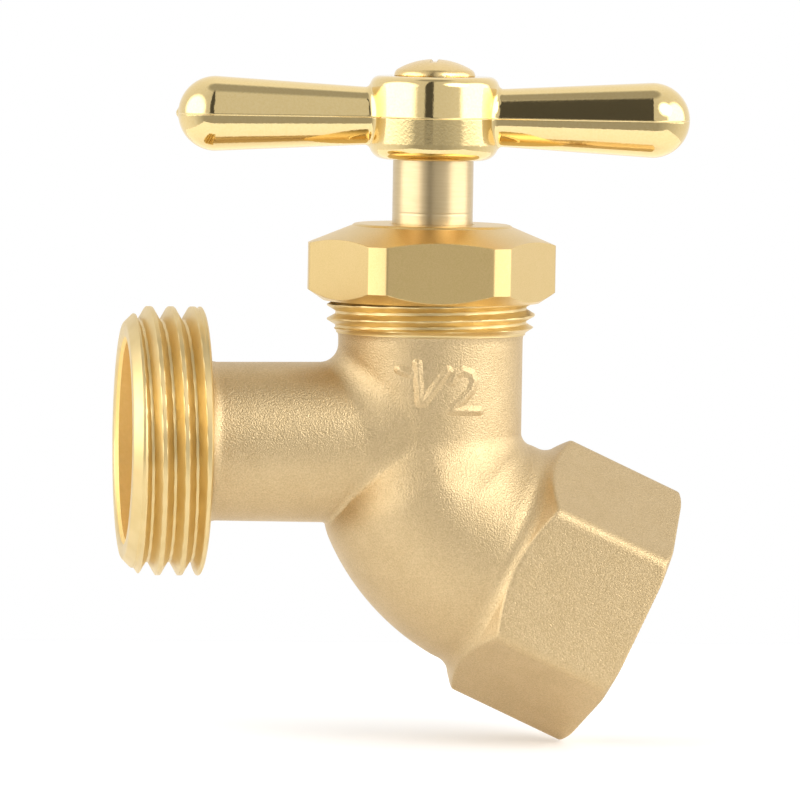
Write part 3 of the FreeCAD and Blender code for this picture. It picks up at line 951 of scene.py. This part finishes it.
# %% The recipe for a finish
cloud_part = 0.2
tone_stops = (0.35, 0.65)
cloud_span = (0.3, 0.7)


def finish(name, colour, shade, rough, spread, marks, detail, relief, metallic=1.0):
    """A material from two colours, a roughness with its spread, and marks per millimetre along each axis."""
    material = bpy.data.materials.new(name)
    material.use_nodes = True
    tree = material.node_tree
    shader = tree.nodes["Principled BSDF"]
    group = add(tree, "ShaderNodeGroup", {}, node_tree=marks_group)
    group.inputs["Marks per mm"].default_value = marks
    group.inputs["Detail"].default_value = detail
    height, cloud = group.outputs["Height"], group.outputs["Cloud"]
    blend = calc(tree, "MULTIPLY_ADD", height, 1 - cloud_part, calc(tree, "MULTIPLY", cloud, cloud_part))
    tone = add(tree, "ShaderNodeValToRGB", {"Fac": blend})
    for stop, position, tint in zip(tone.color_ramp.elements, tone_stops, (shade, colour)):
        stop.position = position
        stop.color = (*tint, 1)
    dull = ramp(tree, cloud, *cloud_span, rough + spread, rough - spread, "LINEAR")
    bump = add(tree, "ShaderNodeBump", {"Distance": relief * MM, "Height": height})
    shader.inputs["Metallic"].default_value = metallic
    feed(tree, shader.inputs["Base Color"], tone.outputs["Color"])
    feed(tree, shader.inputs["Roughness"], dull)
    feed(tree, shader.inputs["Normal"], bump.outputs["Normal"])
    print("finish", name)
    return material


# %% [markdown]
# The casting is blasted with beads after it is trimmed, which leaves an even, fine grain and a soft sheen.
# The threads are cut afterwards, so they are brighter and almost smooth. The wide bore stays a bit rougher,
# and its colour is painted lighter and yellower than the threads' machined brass, as painted light in its shaded
# recess.

# %% The casting's finishes
blasted = finish(
    "blasted_brass", (0.68, 0.515, 0.29), (0.56, 0.415, 0.22), rough=0.46, spread=0.02,
    marks=(6.5, 6.5, 6.5), detail=1.2, relief=0.06,
)
machined = finish(
    "machined_brass", (0.79, 0.61, 0.30), (0.74, 0.56, 0.26), rough=0.4, spread=0.02,
    marks=(0.5, 0.5, 0.5), detail=1, relief=0.003,
)
# painted light: a lighter, yellower copy of machined brass, so that the shaded bore inside the mouth looks lit
painted_light_bore = finish(
    "painted_light_bored_brass", (0.97, 0.72, 0.3), (0.94, 0.69, 0.27), rough=0.62, spread=0.02,
    marks=(2, 2, 2), detail=2, relief=0.02,
)

# %% [markdown]
# The nut is brushed, the spindle shows the lathe's rings, the screw is satin, and the handle is polished so
# that it mirrors the room. The dies' joint on the handle is a low ridge that a second bump adds.

# %% The other metal finishes
line_width = 0.1
line_height = 0.05
brushed = finish(
    "brushed_brass", (0.79, 0.58, 0.265), (0.725, 0.53, 0.22), rough=0.33, spread=0.008,
    marks=(8, 8, 8), detail=2, relief=0.006,
)
lathe = finish(
    "lathe_brass", (0.69, 0.54, 0.31), (0.65, 0.5, 0.28), rough=0.3, spread=0.02,
    marks=(0.4, 0.4, 5), detail=2, relief=0.003,
)
polished = finish(
    "polished_brass", (0.91, 0.71, 0.35), (0.88, 0.67, 0.31), rough=0.07, spread=0.015,
    marks=(4, 4, 4), detail=2, relief=0.0035,
)
satin = finish(
    "satin_brass", (0.87, 0.65, 0.31), (0.82, 0.6, 0.26), rough=0.25, spread=0.03,
    marks=(4, 4, 4), detail=2, relief=0.01,
)


def parting_line(material, level):
    """Adds the hairline that two pressing dies leave, as a low ridge at a height in the frame."""
    tree = material.node_tree
    place = tree.nodes.new("ShaderNodeTexCoord").outputs["Object"]
    height = add(tree, "ShaderNodeSeparateXYZ", {0: place}).outputs["Z"]
    off = calc(tree, "ABSOLUTE", calc(tree, "SUBTRACT", height, level))
    ridge = ramp(tree, off, 0, line_width * MM, 1, 0)
    line = add(tree, "ShaderNodeBump", {"Distance": line_height * MM, "Height": ridge})
    feed(tree, tree.nodes["Bump"].inputs["Normal"], line.outputs["Normal"])


parting_line(polished, (origin[2] + arm_z) * MM)

# %% The hidden pieces' finishes
packing = finish(
    "white_packing", (0.84, 0.83, 0.80), (0.74, 0.72, 0.68), rough=0.6, spread=0.1,
    marks=(5, 5, 5), detail=3, relief=0.03, metallic=0,
)
rubber = finish(
    "black_rubber", (0.035, 0.035, 0.035), (0.02, 0.02, 0.02), rough=0.7, spread=0.1,
    marks=(6, 6, 6), detail=3, relief=0.02, metallic=0,
)

# %% Which finish goes where
finishes = {
    cast_body: blasted, cast_socket: blasted, size_mark: blasted, hose_thread: machined,
    outlet_bore: painted_light_bore, neck_thread: machined, pipe_thread: machined, hex_nut: brushed,
    turned_spindle: lathe, polished_handle: polished, slotted_screw: satin,
}
node_finishes = {
    "gland_follower": machined, "packing_washer": machined, "seat_washer_screw": machined,
    "stem_packing": packing, "seat_washer": rubber,
}
for piece, material in finishes.items():
    piece.data.materials.append(material)
for node, material in node_finishes.items():
    mesh = frame["nodes"][node].data
    mesh.materials.clear()
    mesh.materials.append(material)
print("finished", len(finishes), "pieces and", len(node_finishes), "nodes")

# %% [markdown]
# ## The camera
# The photo was taken from almost level and a little to the left, from far away. The camera looks along that
# line, and its lens gives the photo's scale at the spindle's axis.

# %% The camera
photo_width = 800
photo_spindle = (428.75, 442.85)   # pixel of the point where the spindle's axis meets the outlet's
pixels_per_mm = 9.94
azimuth = math.radians(-6.95)
elevation = math.radians(3.5)
roll = math.radians(0.925)
distance = 910.0

back = np.array([
    math.sin(azimuth) * math.cos(elevation), -math.cos(azimuth) * math.cos(elevation), math.sin(elevation)
])
level_right = np.array([math.cos(azimuth), math.sin(azimuth), 0])
level_up = np.cross(back, level_right)
right = level_right * math.cos(roll) + level_up * math.sin(roll)
up = level_up * math.cos(roll) - level_right * math.sin(roll)
aside = (photo_width / 2 - photo_spindle[0]) / pixels_per_mm
above = (photo_spindle[1] - photo_width / 2) / pixels_per_mm
eye = (origin + right * aside + up * above + back * distance) * MM

camera_data = bpy.data.cameras.new("camera")
camera_data.sensor_width = 36
camera_data.lens = pixels_per_mm * distance / photo_width * camera_data.sensor_width
camera_data.clip_start = 0.01
camera = bpy.data.objects.new("camera", camera_data)
bpy.context.scene.collection.objects.link(camera)
camera.matrix_world = Matrix([
    [right[0], up[0], back[0], eye[0]],
    [right[1], up[1], back[1], eye[1]],
    [right[2], up[2], back[2], eye[2]],
    [0, 0, 0, 1],
])
bpy.context.scene.camera = camera
print("lens", round(camera_data.lens, 1))

# %% [markdown]
# ## The studio
# Polished brass shows the room, so the world is a room drawn by direction. A ring of light stands about the
# tap: white behind it and dimmer in front, where a narrow dark gap lets the camera look in. Below the horizon
# a second ring is dimmer still in front. Two soft boxes stand at the sides, a small one hangs higher up on
# the right, and straight overhead the light falls off. The camera itself sees plain white.

# %% The room's levels
gap_azimuth = -16
gap_edge = (6.0, 9.0)
gap_dark = 0.88
# each point of a ring: degrees from the gap, and the light there
ring = [
    (-180, 1.0), (-100, 0.85), (-58, 0.8), (-32, 0.74), (0, 0.68), (32, 0.72), (58, 0.8), (110, 0.85),
    (180, 1.0),
]
low_ring = [(-180, 1.0), (-95, 1.0), (-60, 0.85), (-25, 0.4), (25, 0.4), (60, 0.6), (110, 0.85), (180, 1.0)]
horizon = (-0.12, -0.05)
# each box: its azimuth and elevation, the radii where it starts and is full, and the light that it adds
boxes = [(-76, 12, 42, 26, 1.9), (74, 10, 38, 26, 1.9), (38, 34, 24, 10, 3.0)]
overhead_edge = (0.93, 0.985)
top_light = 0.4


def toward(from_azimuth, from_elevation):
    """The direction of a place in the room, seen from the tap."""
    a, e = math.radians(from_azimuth), math.radians(from_elevation)
    return math.sin(a) * math.cos(e), -math.cos(a) * math.cos(e), math.sin(e)


def dot(tree, direction, axis):
    """The dot product of a direction and an axis: the cosine of the angle between them."""
    inputs = {0: direction, 1: axis}
    return add(tree, "ShaderNodeVectorMath", inputs, operation="DOT_PRODUCT").outputs["Value"]


def level_curve(tree, share, levels):
    """A level of light read off a curve by how far round the room a direction lies."""
    level = add(tree, "ShaderNodeFloatCurve", {"Value": share})
    curve = level.mapping.curves[0]
    while len(curve.points) < len(levels):
        curve.points.new(0.5, 0.5)
    for point, (degrees, value) in zip(curve.points, levels):
        point.location = ((degrees + 180) / 360, value)
        point.handle_type = "VECTOR"
    level.mapping.update()
    return level.outputs[0]


# %% The world


def ring_light(tree, direction, upper):
    """The two rings, by the angle round from the gap: the lower one, or the upper one with the gap in it."""
    ahead = dot(tree, direction, toward(gap_azimuth, 0))
    beside = dot(tree, direction, toward(gap_azimuth + 90, 0))
    turn = calc(tree, "ARCTAN2", beside, ahead)
    share = ramp(tree, turn, -math.pi, math.pi, kind="LINEAR")
    edges = [math.radians(edge) for edge in gap_edge]
    gap = ramp(tree, calc(tree, "ABSOLUTE", turn), *edges, start=1 - gap_dark)
    front = calc(tree, "MULTIPLY", level_curve(tree, share, ring), gap)
    return mix(tree, upper, level_curve(tree, share, low_ring), front)


def room_light(tree, direction):
    """The rings with the boxes added above the horizon, blending into a plain level overhead."""
    height = add(tree, "ShaderNodeSeparateXYZ", {0: direction}).outputs["Z"]
    upper = ramp(tree, height, *horizon)
    light = ring_light(tree, direction, upper)
    for box_azimuth, box_elevation, outer, inner, strength in boxes:
        near = dot(tree, direction, toward(box_azimuth, box_elevation))
        box = ramp(tree, near, math.cos(math.radians(outer)), math.cos(math.radians(inner)), end=strength)
        light = calc(tree, "MULTIPLY_ADD", box, upper, light)
    return mix(tree, ramp(tree, height, *overhead_edge), light, top_light)


def studio_world():
    """A world that lights the tap with the room and shows the camera plain white."""
    world = bpy.data.worlds.new("studio")
    bpy.context.scene.world = world
    world.use_nodes = True
    tree = world.node_tree
    background = tree.nodes["Background"]
    direction = tree.nodes.new("ShaderNodeTexCoord").outputs["Generated"]
    camera_ray = tree.nodes.new("ShaderNodeLightPath").outputs["Is Camera Ray"]
    background.inputs["Color"].default_value = (1, 1, 1, 1)
    feed(tree, background.inputs["Strength"], mix(tree, camera_ray, room_light(tree, direction), 1))
    print("world of", len(tree.nodes), "nodes")


studio_world()

# %% [markdown]
# The floor is a small white sheet under the tap, which keeps its soft shadow. It glows a little for the
# camera and in reflections, so that it runs into the white background and the brass shows it white too.

# %% The floor
floor_corners = [(-0.14, -0.11), (0.1, -0.11), (0.1, 0.11), (-0.14, 0.11)]
floor_grey = 0.86
floor_rough = 0.9
floor_glow = 0.2


def white_floor():
    """A matt white material that glows for camera, glossy and transmission rays."""
    material = bpy.data.materials.new("white_floor")
    material.use_nodes = True
    tree = material.node_tree
    shader = tree.nodes["Principled BSDF"]
    shader.inputs["Base Color"].default_value = (floor_grey, floor_grey, floor_grey, 1)
    shader.inputs["Roughness"].default_value = floor_rough
    shader.inputs["Emission Color"].default_value = (1, 1, 1, 1)
    rays = tree.nodes.new("ShaderNodeLightPath").outputs
    seen = calc(tree, "ADD", rays["Is Camera Ray"], rays["Is Glossy Ray"])
    seen = calc(tree, "ADD", seen, rays["Is Transmission Ray"])
    feed(tree, shader.inputs["Emission Strength"], calc(tree, "MULTIPLY", seen, floor_glow))
    return material


floor_z = min(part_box(node)[0][2] for node in frame["nodes"])
floor_mesh = bpy.data.meshes.new("floor")
floor_mesh.from_pydata([(x, y, floor_z) for x, y in floor_corners], [], [(0, 1, 2, 3)])
floor_mesh.materials.append(white_floor())
floor = bpy.data.objects.new("floor", floor_mesh)
bpy.context.scene.collection.objects.link(floor)
print("floor at", round(floor_z / MM, 2), "mm")

# %% The view transform
bpy.context.scene.view_settings.view_transform = "Standard"
